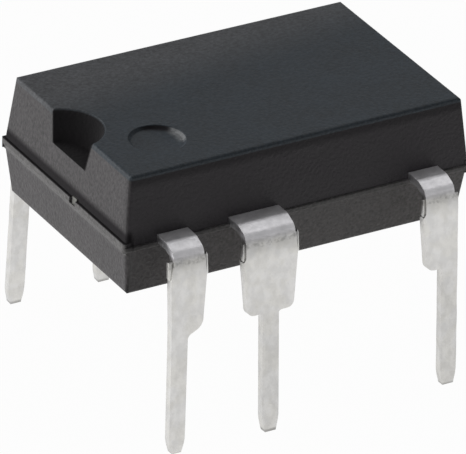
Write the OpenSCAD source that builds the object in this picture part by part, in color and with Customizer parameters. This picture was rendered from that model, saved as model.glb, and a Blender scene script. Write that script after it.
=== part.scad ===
// Dual in-line integrated circuit with eight lead positions, of which the third is left out.
// X runs from lead 1 to lead 4, Y from the row of lead 1 to the row of lead 8, and Z is up.
// The origin lies under the middle of the body, in the plane of the lead tips.

/* [Moulded body] */
// Length of the body beyond the middle of a corner lead, at the seam
end_margin = 1.005; // [0.9:0.005:1.1]
// Width of the body at the seam
body_wid = 6.17; // [5.9:0.01:6.5]
// Height of the upper half
upper_h = 1.86; // [1.6:0.01:2.2]
// Height of the lower half
lower_h = 1.35; // [1.1:0.01:1.6]
// Slope of the upper end faces, in degrees
end_draft_up = 5.6; // [3:0.1:9]
// Slope of the upper long faces, in degrees
side_draft_up = 6.2; // [3:0.1:9]
// Slope of the lower end faces, in degrees
end_draft_low = 6.4; // [3:0.1:10]
// Slope of the lower long faces, in degrees
side_draft_low = 7.2; // [3:0.1:10]
// Radius of the body's edges
edge_r = 0.09; // [0.04:0.01:0.15]

/* [Seam ledge] */
// How far the ledge stands out at the notched end
notch_end_ledge = 0.07; // [0.04:0.01:0.15]
// How far the ledge stands out at the plain end
plain_end_ledge = 0.02; // [0.02:0.01:0.15]
// Height above the seam at which the end ledges begin to stand out in full
end_ledge_low = 0.03; // [0:0.01:0.06]
// Height of the end ledges above the seam
end_ledge_rise = 0.16; // [0.12:0.01:0.24]
// How far the end ledges slope back below the seam
end_ledge_fall = 0.17; // [0.05:0.01:0.4]
// How far the ledge stands out along the long sides
side_ledge = 0.05; // [0.02:0.01:0.08]
// Height from the seam at which the side ledges begin to stand out in full
side_ledge_low = -0.05; // [-0.06:0.01:0.02]
// Height of the side ledges above the seam
side_ledge_rise = 0.05; // [0.04:0.01:0.12]
// How far the side ledges slope back below the seam
side_ledge_fall = 0.1; // [0.08:0.01:0.2]

/* [Recesses] */
// Radius of the end notch at the top face
notch_r = 1; // [0.7:0.01:1.2]
// Radius of the end notch at its floor
notch_floor_r = 0.8; // [0.5:0.01:1]
// Depth of the end notch
notch_depth = 0.81; // [0.4:0.01:1.1]
// Distance of the notch's centre outside the seam
notch_setback = 0.08; // [0:0.01:0.2]
// Radius of the eased edges of the notch
notch_edge_r = 0.06; // [0.02:0.01:0.1]
// Radius of the round mark beside lead 1
mark_r = 0.72; // [0.5:0.01:0.8]
// Depth of the round mark
mark_depth = 0.08; // [0.04:0.01:0.15]
// Distance of the round mark's centre from the notched end
mark_end_gap = 1.72; // [1.6:0.01:2]
// Distance of the round mark's centre from the side of lead 1
mark_side_gap = 1.63; // [1.5:0.01:2]
// Radius of the ejector marks in the underside
ejector_r = 0.65; // [0.4:0.01:0.8]
// Depth of the ejector marks
ejector_depth = 0.06; // [0.03:0.01:0.12]
// Distance between the two ejector marks
ejector_span = 5.08; // [4:0.01:6]
// Slope inside the shallow marks, as the width of the wall
mark_wall = 0.08; // [0.02:0.01:0.15]
// Radius of the eased edges of the shallow marks
mark_edge_r = 0.03; // [0.01:0.005:0.05]

/* [Lead rows] */
// Pitch of the leads along a row
pitch = 2.54; // [2.4:0.01:2.6]
// Distance between the two rows at the shoulders
row_pitch = 7.7; // [7.6:0.01:8.2]
// Height of the underside above the lead tips
stand_h = 3.985; // [3.6:0.005:4.4]
// Outward lean of the legs, in degrees
splay = 3.8; // [0:0.1:8]

/* [Lead shape] */
// Thickness of the lead frame
lead_t = 0.21; // [0.2:0.01:0.3]
// Inside radius of the bend
bend_r = 0.25; // [0.15:0.01:0.3]
// Width of a middle lead where it leaves the body
flat_w = 1.41; // [1.2:0.01:1.5]
// Distance of the outer edge of a corner lead from its middle where it leaves the body
corner_flat = 0.14; // [0.1:0.01:0.2]
// Width of a middle lead at the top of its shoulder
shoulder_w = 1.52; // [1.42:0.01:1.6]
// Width of a middle lead at the foot of its shoulder
foot_w = 1.28; // [1.1:0.01:1.38]
// How far the stub of the cut dam bar stands out from the shoulder
stub_out = 0.075; // [0.04:0.005:0.12]
// How far the stub stands out from a straight outer edge
edge_stub_out = 0.05; // [0.03:0.01:0.08]
// From the flat part's underside down to the stubs
stub_drop = 0.13; // [0.05:0.01:0.2]
// Height of the stubs
stub_h = 0.48; // [0.3:0.01:0.6]
// Radius at the corners of the stubs
stub_r = 0.02; // [0.005:0.005:0.025]
// Height of the shoulder's foot above the lead tips
foot_z = 3.25; // [2.8:0.01:3.5]
// Radius at the outer corners of the shoulder's foot
foot_r = 0.17; // [0.05:0.01:0.2]
// Radius where the shoulder's foot meets the leg
foot_fillet_r = 0.08; // [0.04:0.01:0.12]
// Width of the leg
leg_w = 0.46; // [0.4:0.01:0.52]
// Width of the leg at its tip
tip_w = 0.3; // [0.2:0.01:0.36]
// Height of the taper at the tip
tip_h = 0.37; // [0.2:0.01:0.6]
// Bevel on the front and back of the tip
tip_bevel = 0.05; // [0.02:0.01:0.08]

/* [Frame inside the body] */
// Length of the flat lead from the body's side inwards
root_len = 0.5; // [0.4:0.01:0.6]
// Length of the root before a lead narrows or turns
neck_len = 0.2; // [0.1:0.01:0.3]
// Length of the die paddle
paddle_len = 3.5; // [3:0.01:3.8]
// Width of the die paddle
paddle_wid = 2.5; // [2.2:0.01:2.8]
// How far the paddle lies below the leads
paddle_drop = 0.2; // [0.1:0.01:0.3]
// Width of the tie bars
tie_w = 0.2; // [0.15:0.01:0.4]
// Distance of the tie bars from the middle of the body
tie_offset = 0.56; // [0.4:0.01:0.6]
// Length of a tie bar from the paddle to its step
tie_step = 0.5; // [0.3:0.01:0.8]
// How far a tie bar's cut end stands out past the seam
tie_out = 0.02; // [0:0.01:0.04]
// Gap beside a tie bar in the end ledge, towards the middle
tie_gap = 0.08; // [0.02:0.01:0.12]
// Gap between the leads and the paddle
finger_gap = 0.3; // [0.2:0.01:0.4]
// Width of the inner end of a corner lead
finger_w = 1.15; // [0.9:0.01:1.3]
// Length of a corner lead's inner end along its inner edge
finger_len = 0.37; // [0.3:0.01:0.5]

/* [Die and bond wires] */
// Length of the die
die_len = 1.9; // [1.6:0.01:2.4]
// Width of the die
die_wid = 1.5; // [1.3:0.01:1.9]
// Thickness of the die
die_t = 0.28; // [0.2:0.01:0.4]
// Thickness of the die attach layer
attach_t = 0.03; // [0.02:0.01:0.06]
// How far the die attach layer shows around the die
attach_rim = 0.07; // [0.03:0.01:0.12]
// Diameter of the bond wires
wire_d = 0.05; // [0.03:0.01:0.055]
// Diameter of the bonded ends of a wire
bond_d = 0.12; // [0.1:0.01:0.15]
// Height of the bonded ends of a wire
bond_h = 0.06; // [0.06:0.005:0.08]
// Rise of a wire above the line between its ends
loop_rise = 0.26; // [0.2:0.01:0.35]
// Distance of the bond pads from the edge of the die
pad_inset = 0.13; // [0.1:0.01:0.2]
// Distance between two pads beside each other
pad_pitch = 0.24; // [0.2:0.01:0.28]
// Distance of a wire's end from the end of its lead
bond_inset = 0.25; // [0.15:0.01:0.3]

/* [Hidden] */

// Facets of a full turn on large curves and on wires
ARC = 48;
FINE_ARC = 16;
// How far a cut reaches past the face that it cuts
CUT = 1;
// Factor by which a corner's cutter or filler overshoots the corner
OVERSHOOT = 1.3;

MOULD_BLACK = [0.24, 0.25, 0.25];
TIN = [0.76, 0.76, 0.75];
COPPER = [0.72, 0.45, 0.32];
ATTACH_GREY = [0.6, 0.6, 0.58];
SILICON = [0.35, 0.37, 0.42];
GOLD = [0.85, 0.68, 0.3];

// Middle of a corner lead, and length of the body at the seam
corner_x = 1.5 * pitch;
body_len = 2 * (corner_x + end_margin);

// Heights
seam_z = stand_h + lower_h;
top_z = seam_z + upper_h;
lead_top_z = seam_z + lead_t;
paddle_top_z = lead_top_z - paddle_drop;
attach_top_z = paddle_top_z + attach_t;
die_top_z = attach_top_z + die_t;

// The bend and the leg, seen from the end of the body
bend_out_r = bend_r + lead_t;
bend_y = row_pitch / 2 + lead_t / 2 - bend_out_r;
bend_z = seam_z - bend_r;
root_y = body_wid / 2 - root_len;
neck_y = root_y - neck_len;

// The lead seen from its row's side
flat_hw = flat_w / 2;
leg_hw = leg_w / 2;
stub_top_z = seam_z - stub_drop;
stub_low_z = stub_top_z - stub_h;

// Places of the leads and of what they carry inside
middle_x = 0.5 * pitch;
finger_in_x = paddle_len / 2 + finger_gap;
finger_out_x = finger_in_x + finger_w;
finger_tip_y = tie_offset + tie_w / 2 + finger_gap;
middle_tip_y = paddle_wid / 2 + finger_gap;
middle_hw = paddle_len / 2 - middle_x;
corner_pad = [die_len / 2 - pad_inset, pad_pitch, die_top_z];
middle_pad = [pad_pitch, die_wid / 2 - pad_inset, die_top_z];
corner_spot = [finger_in_x + bond_inset, finger_tip_y + bond_inset, lead_top_z];
middle_spot = [middle_x, middle_tip_y + bond_inset, lead_top_z];

function unit(v) = v / norm(v);
function turn(a, b, c) = cross(b - a, c - b);
function around(list, i) = list[(i + len(list)) % len(list)];
function flipped(points) = [for (i = [len(points) - 1:-1:0]) [-points[i][0], points[i][1]]];
function backwards(list) = [for (i = [len(list) - 1:-1:0]) list[i]];
function corner_half(a, b, c) = acos(unit(a - b) * unit(c - b)) / 2;
function corner_centre(a, b, c, r) =
    b + unit(unit(a - b) + unit(c - b)) * r / sin(corner_half(a, b, c));

// Height z on the face of a leg that continues the bend's arc of radius r
function leg_y(r, z) = bend_y + r / cos(splay) + (bend_z - z) * tan(splay);

// What the arc of radius r leaves outside itself at the outward corner b of a, b, c
module corner_cutter(a, b, c, r) {
    centre = corner_centre(a, b, c, r);
    reach = r / tan(corner_half(a, b, c));
    difference() {
        polygon([for (p = [centre, b + unit(a - b) * reach, b, b + unit(c - b) * reach])
                 centre + (p - centre) * OVERSHOOT]);
        translate(centre) circle(r, $fn = ARC);
    }
}

// What fills the inward corner b of a, b, c up to an arc of radius r
module corner_filler(a, b, c, r) {
    centre = corner_centre(a, b, c, r);
    reach = r / tan(corner_half(a, b, c));
    difference() {
        polygon([centre, b + unit(a - b) * reach, centre + (b - centre) * OVERSHOOT,
                 b + unit(c - b) * reach]);
        translate(centre) circle(r, $fn = ARC);
    }
}

// Outline through anticlockwise points, whose corners with a radius are true arcs
module rounded_outline(points, radii) {
    places = [for (i = [0:len(points) - 1]) if (radii[i] > 0) i];
    difference() {
        union() {
            polygon(points);
            for (i = places)
                if (turn(around(points, i - 1), points[i], around(points, i + 1)) < 0)
                    corner_filler(around(points, i - 1), points[i], around(points, i + 1), radii[i]);
        }
        for (i = places)
            if (turn(around(points, i - 1), points[i], around(points, i + 1)) > 0)
                corner_cutter(around(points, i - 1), points[i], around(points, i + 1), radii[i]);
    }
}

// Cross-section of one half of the body, standing on the seam
module half_section(half, h, draft) {
    top = half - h * tan(draft);
    rounded_outline([[-half, 0], [half, 0], [top, h], [-top, h]], [0, 0, edge_r, edge_r]);
}

// What the rounding takes off the sloping corner edge of one half
module edge_cutter(h, end_draft, side_draft) {
    edge = unit([-tan(end_draft), -tan(side_draft), 1]);
    end_normal = [cos(end_draft), 0, sin(end_draft)];
    side_normal = [0, cos(side_draft), sin(side_draft)];
    across = cross(edge, end_normal);
    between = acos(end_normal * side_normal);
    wide = edge_r * OVERSHOOT;
    multmatrix([[end_normal[0], across[0], edge[0], body_len / 2 - edge_r / cos(end_draft)],
                [end_normal[1], across[1], edge[1], body_wid / 2 - edge_r / cos(side_draft)],
                [end_normal[2], across[2], edge[2], 0],
                [0, 0, 0, 1]])
        translate([0, 0, -CUT / 2])
            linear_extrude(h / edge[2] + CUT)
                difference() {
                    polygon([[0, 0], [wide, 0], wide * [1, tan(between / 2)],
                             wide * [cos(between), sin(between)]]);
                    circle(edge_r, $fn = ARC);
                }
}

// One half of the body, from the seam upwards
module body_half(h, end_draft, side_draft) {
    difference() {
        intersection() {
            rotate([90, 0, 0])
                linear_extrude(body_wid, center = true)
                    half_section(body_len / 2, h, end_draft);
            rotate([90, 0, 90])
                linear_extrude(body_len, center = true)
                    half_section(body_wid / 2, h, side_draft);
        }
        for (mx = [0, 1], my = [0, 1])
            mirror([mx, 0, 0])
                mirror([0, my, 0])
                    edge_cutter(h, end_draft, side_draft);
    }
}

// Cross-section of the ledge beyond a face that lies at half and slopes by draft below the seam
module ledge_section(half, out, low, rise, fall, draft) {
    inner = half - edge_r;
    rounded_outline([[inner, -fall], [half - fall * tan(draft), -fall], [half + out, low],
                     [half + out, rise], [inner, rise]],
                    [0, 0, 0, min(out, rise - low) / 2, 0]);
}

module end_ledge(out) {
    rotate([90, 0, 0])
        linear_extrude(body_wid, center = true)
            ledge_section(body_len / 2, out, end_ledge_low, end_ledge_rise, end_ledge_fall,
                          end_draft_low);
}

module side_ledges() {
    for (my = [0, 1])
        mirror([0, my, 0])
            rotate([90, 0, 90])
                linear_extrude(body_len + 2 * notch_end_ledge, center = true)
                    ledge_section(body_wid / 2, side_ledge, side_ledge_low, side_ledge_rise,
                                  side_ledge_fall, side_draft_low);
}

// Outline of the ledge from above, with rounded corners
module ledge_plan() {
    left = -body_len / 2 - notch_end_ledge;
    right = body_len / 2 + plain_end_ledge;
    half = body_wid / 2 + side_ledge;
    round = edge_r + side_ledge;
    rounded_outline([[left, -half], [right, -half], [right, half], [left, half]],
                    [round, round, round, round]);
}

// Ledge around the seam, open where the tie bars were cut off
module seam_ledge() {
    difference() {
        intersection() {
            union() {
                mirror([1, 0, 0]) end_ledge(notch_end_ledge);
                end_ledge(plain_end_ledge);
                side_ledges();
            }
            translate([0, 0, -end_ledge_fall])
                linear_extrude(end_ledge_fall + end_ledge_rise)
                    ledge_plan();
        }
        for (mx = [0, 1])
            mirror([mx, 0, 0])
                translate([body_len / 2, -tie_offset - tie_w / 2, 0])
                    cube([CUT, tie_w + tie_gap, CUT]);
    }
}

// Round recess below z = 0 with a sloping wall, an eased rim and a rounded foot
module recess(rim_r, floor_r, depth, ease) {
    wall_r = rim_r - ease * (rim_r - floor_r) / depth;
    rotate_extrude($fn = ARC)
        rounded_outline([[0, -depth], [floor_r, -depth], [wall_r, -ease], [wall_r + 2 * ease, ease],
                         [0, ease]],
                        [0, ease, ease, 0, 0]);
}

module body_recesses() {
    translate([-body_len / 2 - notch_setback, 0, top_z])
        recess(notch_r, notch_floor_r, notch_depth, notch_edge_r);
    translate([mark_end_gap - body_len / 2, mark_side_gap - body_wid / 2, top_z])
        recess(mark_r, mark_r - mark_wall, mark_depth, mark_edge_r);
    for (s = [-1, 1])
        translate([s * ejector_span / 2, 0, stand_h])
            mirror([0, 0, 1])
                recess(ejector_r, ejector_r - mark_wall, ejector_depth, mark_edge_r);
}

module moulded_body() {
    color(MOULD_BLACK)
        difference() {
            translate([0, 0, seam_z]) {
                body_half(upper_h, end_draft_up, side_draft_up);
                mirror([0, 0, 1]) body_half(lower_h, end_draft_low, side_draft_low);
                seam_ledge();
            }
            body_recesses();
            lead_1();
            lead_2();
            lead_4();
            lead_5();
            lead_6();
            lead_7();
            lead_8();
            die_paddle();
            die_attach();
            silicon_die();
            bond_wire_1();
            bond_wire_2();
            bond_wire_4a();
            bond_wire_4b();
            bond_wire_5();
            bond_wire_6();
            bond_wire_7();
            bond_wire_8();
            ground_wire();
        }
}

// Strip of the lead frame from its root over the bend to the tip, seen along the row
module lead_side() {
    rounded_outline([[root_y, seam_z], [leg_y(bend_r, seam_z), seam_z],
                     [leg_y(bend_r, tip_bevel), tip_bevel], [leg_y(bend_r, 0) + tip_bevel, 0],
                     [leg_y(bend_out_r, 0) - tip_bevel, 0], [leg_y(bend_out_r, tip_bevel), tip_bevel],
                     [leg_y(bend_out_r, lead_top_z), lead_top_z], [root_y, lead_top_z]],
                    [0, bend_r, 0, 0, 0, 0, bend_out_r, 0]);
}

// Edge of a lead from its tip up over the wide shoulder, and the radii at its corners
shoulder_edge = [[tip_w / 2, 0], [leg_hw, tip_h], [leg_hw, foot_z], [foot_w / 2, foot_z],
                 [shoulder_w / 2, stub_low_z], [shoulder_w / 2 + stub_out, stub_low_z],
                 [shoulder_w / 2 + stub_out, stub_top_z], [flat_hw, stub_top_z],
                 [flat_hw, lead_top_z + CUT]];
shoulder_radii = [0, 0, foot_fillet_r, foot_r, 0, stub_r, stub_r, 0, 0];

// Edge of a corner lead on the side of the body's end, and its radii
straight_edge = [[tip_w / 2, 0], [leg_hw, tip_h], [leg_hw, stub_low_z],
                 [leg_hw + edge_stub_out, stub_low_z], [leg_hw + edge_stub_out, stub_top_z],
                 [corner_flat, stub_top_z], [corner_flat, lead_top_z + CUT]];
straight_radii = [0, 0, 0, stub_r, stub_r, 0, 0];

// A lead bent out of the strip, with the given edges to the right and to the left
module formed_lead(right_edge, right_radii, left_edge, left_radii) {
    deep = leg_y(bend_out_r, 0) - root_y + CUT;
    intersection() {
        rotate([90, 0, 90])
            linear_extrude(shoulder_w + 2 * stub_out + CUT, center = true)
                lead_side();
        translate([0, root_y + deep, 0])
            rotate([90, 0, 0])
                linear_extrude(deep)
                    rounded_outline(concat(right_edge, flipped(left_edge)),
                                    concat(right_radii, backwards(left_radii)));
    }
}

// Middle lead of the row at +Y, on the side of +X
module middle_lead() {
    translate([middle_x, 0, 0])
        formed_lead(shoulder_edge, shoulder_radii, shoulder_edge, shoulder_radii);
    translate([middle_x, 0, seam_z])
        linear_extrude(lead_t)
            polygon([[-flat_hw, root_y], [-flat_hw, neck_y], [-middle_hw, neck_y - neck_len],
                     [-middle_hw, middle_tip_y], [middle_hw, middle_tip_y],
                     [middle_hw, neck_y - neck_len], [flat_hw, neck_y], [flat_hw, root_y]]);
}

// Corner lead of the row at +Y, on the side of +X, turned inside towards the end of the paddle
module corner_lead() {
    inner = corner_x - flat_hw;
    outer = corner_x + corner_flat;
    slant = (neck_y - finger_tip_y - finger_len) / (inner - finger_in_x);
    translate([corner_x, 0, 0])
        formed_lead(straight_edge, straight_radii, shoulder_edge, shoulder_radii);
    translate([0, 0, seam_z])
        linear_extrude(lead_t)
            polygon([[inner, root_y], [inner, neck_y], [finger_in_x, finger_tip_y + finger_len],
                     [finger_in_x, finger_tip_y], [finger_out_x, finger_tip_y],
                     [finger_out_x, neck_y - slant * (outer - finger_out_x)], [outer, neck_y],
                     [outer, root_y]]);
}

module lead_1() {
    color(TIN) mirror([1, 0, 0]) mirror([0, 1, 0]) corner_lead();
}

module lead_2() {
    color(TIN) mirror([1, 0, 0]) mirror([0, 1, 0]) middle_lead();
}

module lead_4() {
    color(TIN) mirror([0, 1, 0]) corner_lead();
}

module lead_5() {
    color(TIN) corner_lead();
}

module lead_6() {
    color(TIN) middle_lead();
}

module lead_7() {
    color(TIN) mirror([1, 0, 0]) middle_lead();
}

module lead_8() {
    color(TIN) mirror([1, 0, 0]) corner_lead();
}

// Tie bar from the paddle at +X up its step and out to the end face, seen from the side
module tie_side() {
    low = paddle_top_z - lead_t;
    start = paddle_len / 2 - CUT;
    step = paddle_len / 2 + tie_step;
    cut_end = body_len / 2 + tie_out;
    polygon([[start, low], [step, low], [step + paddle_drop, seam_z], [cut_end, seam_z],
             [cut_end, lead_top_z], [step + paddle_drop, lead_top_z], [step, paddle_top_z],
             [start, paddle_top_z]]);
}

module die_paddle() {
    color(COPPER) {
        translate([-paddle_len / 2, -paddle_wid / 2, paddle_top_z - lead_t])
            cube([paddle_len, paddle_wid, lead_t]);
        for (mx = [0, 1])
            mirror([mx, 0, 0])
                translate([0, -tie_offset, 0])
                    rotate([90, 0, 0])
                        linear_extrude(tie_w, center = true)
                            tie_side();
    }
}

module die_attach() {
    color(ATTACH_GREY)
        translate([-die_len / 2 - attach_rim, -die_wid / 2 - attach_rim, paddle_top_z])
            cube([die_len + 2 * attach_rim, die_wid + 2 * attach_rim, attach_t]);
}

module silicon_die() {
    color(SILICON)
        translate([-die_len / 2, -die_wid / 2, attach_top_z])
            cube([die_len, die_wid, die_t]);
}

// Wire that rises from a pad and comes down on a spot in one arc, bonded flat at both ends
module bond_wire(pad, spot) {
    from = pad + [0, 0, bond_h / 2];
    to = spot + [0, 0, bond_h / 2];
    span = norm(to - from);
    half = 2 * atan(2 * loop_rise / span);
    radius = span / (2 * sin(half));
    for (end = [pad, spot])
        translate(end) cylinder(h = bond_h, d = bond_d, $fn = FINE_ARC);
    translate((from + to) / 2)
        rotate([0, -asin((to[2] - from[2]) / span), atan2(to[1] - from[1], to[0] - from[0])])
            translate([0, 0, -radius * cos(half)])
                rotate([90, 0, 0])
                    rotate([0, 0, 90 - half])
                        rotate_extrude(angle = 2 * half, $fn = ARC)
                            translate([radius, 0]) circle(d = wire_d, $fn = FINE_ARC);
}

module bond_wire_1() {
    color(GOLD) mirror([1, 0, 0]) mirror([0, 1, 0]) bond_wire(corner_pad, corner_spot);
}

module bond_wire_2() {
    color(GOLD) mirror([1, 0, 0]) mirror([0, 1, 0]) bond_wire(middle_pad, middle_spot);
}

module bond_wire_4a() {
    color(GOLD) mirror([0, 1, 0]) bond_wire(corner_pad, corner_spot);
}

// Second wire of lead 4, beside the first
module bond_wire_4b() {
    beside = [0, pad_pitch, 0];
    color(GOLD) mirror([0, 1, 0]) bond_wire(corner_pad + beside, corner_spot + beside);
}

module bond_wire_5() {
    color(GOLD) bond_wire(corner_pad, corner_spot);
}

module bond_wire_6() {
    color(GOLD) bond_wire(middle_pad, middle_spot);
}

module bond_wire_7() {
    color(GOLD) mirror([1, 0, 0]) bond_wire(middle_pad, middle_spot);
}

module bond_wire_8() {
    color(GOLD) mirror([1, 0, 0]) bond_wire(corner_pad, corner_spot);
}

// Wire from the middle of the die down to the paddle
module ground_wire() {
    color(GOLD)
        bond_wire([0, middle_pad[1], die_top_z], [0, paddle_wid / 2 - bond_inset, paddle_top_z]);
}

moulded_body();
lead_1();
lead_2();
lead_4();
lead_5();
lead_6();
lead_7();
lead_8();
die_paddle();
die_attach();
silicon_die();
bond_wire_1();
bond_wire_2();
bond_wire_4a();
bond_wire_4b();
bond_wire_5();
bond_wire_6();
bond_wire_7();
bond_wire_8();
ground_wire();
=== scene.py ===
"""Dresses a moulded dual in-line package: matt black body, tin-dipped leads, plain studio."""

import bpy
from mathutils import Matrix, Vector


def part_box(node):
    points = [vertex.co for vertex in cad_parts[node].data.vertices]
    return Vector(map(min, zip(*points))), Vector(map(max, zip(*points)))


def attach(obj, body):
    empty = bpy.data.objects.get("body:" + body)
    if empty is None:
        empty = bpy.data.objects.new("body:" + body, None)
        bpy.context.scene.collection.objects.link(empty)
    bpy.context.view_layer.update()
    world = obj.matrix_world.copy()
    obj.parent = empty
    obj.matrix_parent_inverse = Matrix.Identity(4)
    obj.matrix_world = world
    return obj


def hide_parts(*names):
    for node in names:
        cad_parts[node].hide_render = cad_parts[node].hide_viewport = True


bl_info = {
    "name": "Dual In-Line Package",
    "version": (1, 0, 0),
    "blender": (4, 5, 0),
    "location": "View3D > Sidebar > Package",
    "description": "Dresses the moulded body and the formed leads, and sets up a plain studio",
    "category": "Object",
}

import math

import bmesh
import bpy
from bpy.props import FloatProperty, FloatVectorProperty, PointerProperty
from mathutils import Matrix, Vector, noise as smooth_noise

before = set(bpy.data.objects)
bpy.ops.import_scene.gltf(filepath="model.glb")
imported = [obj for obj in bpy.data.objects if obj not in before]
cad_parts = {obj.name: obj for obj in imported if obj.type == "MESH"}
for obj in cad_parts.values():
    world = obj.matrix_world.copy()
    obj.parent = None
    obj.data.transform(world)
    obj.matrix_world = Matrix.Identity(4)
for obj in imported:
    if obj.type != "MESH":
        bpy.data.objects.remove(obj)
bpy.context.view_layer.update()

MM = 0.001
IMAGE_WIDTH = 466
SENSOR_WIDTH = 36.0
WHITE = (1.0, 1.0, 1.0, 1.0)
SMOOTH_ANGLE = math.radians(35.0)

# Side of the middle in X and in Y, and how each lead departs from the plain form, in mm:
# lean per mm of drop, narrower tip, shorter tip, slant of the foot
LEADS = {
    "lead_1": (-1, -1, 0.03, 0.05, 0.06, 0.2),
    "lead_2": (-1, -1, 0.0, 0.0, 0.0, 0.0),
    "lead_4": (1, -1, 0.0, 0.0, 0.03, 0.03),
    "lead_5": (1, 1, 0.004, 0.0, 0.02, 0.02),
    "lead_6": (1, 1, -0.004, 0.01, 0.0, 0.0),
    "lead_7": (-1, 1, 0.003, 0.0, 0.02, 0.0),
    "lead_8": (-1, 1, -0.003, 0.01, 0.01, 0.04),
}
CORNER_LEADS = ("lead_1", "lead_4", "lead_5", "lead_8")
WIRES = tuple(sorted(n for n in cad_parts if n.startswith("bond_wire") or n == "ground_wire"))

# Name, colour, metallic and roughness
EPOXY = ("silver_epoxy", (0.5, 0.5, 0.48), 0.0, 0.5)
SILICON = ("polished_silicon", (0.2, 0.22, 0.27), 0.6, 0.2)
GOLD = ("gold", (0.85, 0.62, 0.25), 1.0, 0.3)

# Azimuth and elevation in degrees, width and height in metres, and brightness
PANELS = {
    "left_panel": (122.0, 17.0, 1.3, 0.5, 2.2),
    "top_panel": (-114.0, 60.0, 0.6, 0.6, 0.88),
}

# Where each tint of the body, most of them painted light and shade, fades in: none of it at the first
# place, all of it at the second.
# Places are in mm, counted from the height or the face that MouldFinish gives as their start.
BODY_FADES = {
    "top": (-0.14, -0.11),
    "side": (-0.05, -0.01),
    "side_foot": (0.03, 0.08),
    "lower": (0.0, -0.05),
    "lower_along": (-4.5, 0.0),
    # Painted highlight on the top towards the back
    "back": (0.4, 2.6),
    "notch_wall": (0.0, -0.04),
    "notch_floor": (-0.015, -0.005),
    "notch_top": (0.0, -0.05),
    # Painted highlight on the ledges: a band on the long sides, a rim all round
    "band_foot": (-0.085, -0.065),
    "band_top": (0.065, 0.05),
    "ledge_rim": (-0.05, -0.03),
    "ledge_top": (-0.02, 0.0),
    "end": (0.3, 0.2),
    # Painted shade under the top edge, above the side ledge and at the near corner
    "under_edge": (-0.42, -0.2),
    "over_ledge": (0.55, 0.1),
    "over_ledge_along": (-0.5, -4.0),
    "near_corner": (-0.3, -0.08),
    "mark_depth": (-0.01, -0.02),
    "dish_depth": (-0.01, -0.03),
}
# The same in the round mark, in parts of its radius, or of its square for the rings
MARK_FADES = {
    "ring": (1.0, 0.94),
    # Painted highlight in the mark
    "pale_ring": (0.32, 0.72),
    "pale_away": (-0.05, 0.25),
    "pale_across": (0.2, 0.52),
    # Painted shade: a dark crescent in the mark
    "dark_away": (0.6, 0.9),
    "dark_left": (-0.75, -0.5),
    "dark_right": (0.52, 0.3),
}
# How strongly each tint shows in the colour or in the roughness
BODY_SHARES = {
    # Shares of painted light and shade: lower_least for the lit lower sides at the notched end, ledge for
    # the ledge highlight, shade and soft_shade for the shade laid over
    "lower_least": 0.5,
    "ledge": 0.85,
    "shade": 0.9,
    "soft_shade": 0.4,
    "grain": 1.6,
    "cloud": 0.8,
    "rough_cloud": 0.1,
    "rough_notch": 0.4,
}

# Shares of the tin's colour on the bend, below it and in the warm blotches
TIN_TONES = {"cool": (0.975, 0.965, 1.0), "plain": (1.0, 0.99, 0.98), "warm": (1.0, 0.985, 0.955)}
# Where the tin's marks fade in, as values of the noise
TIN_BLOTCHES = {
    "warm": (0.42, 0.58),
    "pits": (0.4, 0.3),
    "patch": (0.65, 0.35),
    # Where the painted shade at the crease shows through the pits
    "crease_pits": (0.6, 0.35),
}
# In mm above the crease
CREASE_FADES = {
    "bend": (0.0, 0.2),
    "flat": (0.395, 0.41),
    "crease_foot": (-0.1, -0.02),
    "crease_top": (0.1, 0.02),
    # Painted shade around and below the crease
    "rubbed_foot": (-0.5, -0.05),
    "rubbed_top": (0.22, 0.1),
    # Painted highlight on the bend
    "worn_foot": (0.13, 0.21),
    "worn_top": (0.31, 0.25),
}
# In mm above the floor, and along the rows from the middle
LEG_FADES = {
    "leg": (3.7, 2.7),
    "leg_along": (-3.0, -2.0),
    "tip": (0.12, 0.04),
}
# How strongly each mark shows in the colour, the roughness and the relief
TIN_SHARES = {
    "pits": 0.05,
    "patch": 0.1,
    # Painted shade at the crease and below it, and a painted highlight on the bend
    "crease": 0.22,
    "rubbed": 0.2,
    "worn": 0.25,
    "leg": 0.09,
    "tip": 0.1,
    "tip_patch": 0.5,
    "ragged": 0.25,
    "rough_cloud": 0.15,
    "rough_pits": 0.2,
    "rough_flat": 0.12,
    "bump_cloud": 0.5,
    "bump_fine": 0.12,
}


class Socket:
    """An output socket whose arithmetic adds Math nodes to its tree."""

    def __init__(self, graph, socket):
        self.graph = graph
        self.socket = socket

    def _math(self, operation, *values, clamp=False):
        return self.graph.node("ShaderNodeMath", {"operation": operation, "use_clamp": clamp}, values)[0]

    def __add__(self, other):
        return self._math("ADD", self, other)

    def __radd__(self, other):
        return self._math("ADD", other, self)

    def __sub__(self, other):
        return self._math("SUBTRACT", self, other)

    def __rsub__(self, other):
        return self._math("SUBTRACT", other, self)

    def __mul__(self, other):
        return self._math("MULTIPLY", self, other)

    def __rmul__(self, other):
        return self._math("MULTIPLY", other, self)

    def __truediv__(self, other):
        return self._math("DIVIDE", self, other)

    def __rtruediv__(self, other):
        return self._math("DIVIDE", other, self)

    def size(self):
        return self._math("ABSOLUTE", self)

    def root(self):
        return self._math("SQRT", self)

    def larger(self, other):
        return self._math("MAXIMUM", self, other)

    def clamped(self):
        return self._math("ADD", self, 0.0, clamp=True)

    def between(self, fade, start=0.0):
        """Rises smoothly from 0 at a fade's first place to 1 at its second, both counted from start."""
        none, full = start + fade[0], start + fade[1]
        first, last, ends = (none, full, (0.0, 1.0)) if none < full else (full, none, (1.0, 0.0))
        return self.graph.node("ShaderNodeMapRange", {"interpolation_type": "SMOOTHSTEP"},
                               {"Value": self, "From Min": first, "From Max": last,
                                "To Min": ends[0], "To Max": ends[1]})[0]


class Outputs:
    """The outputs of a node, by position or by name."""

    def __init__(self, graph, item):
        self.graph = graph
        self.item = item

    def __getitem__(self, key):
        return Socket(self.graph, self.item.outputs[key])


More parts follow.
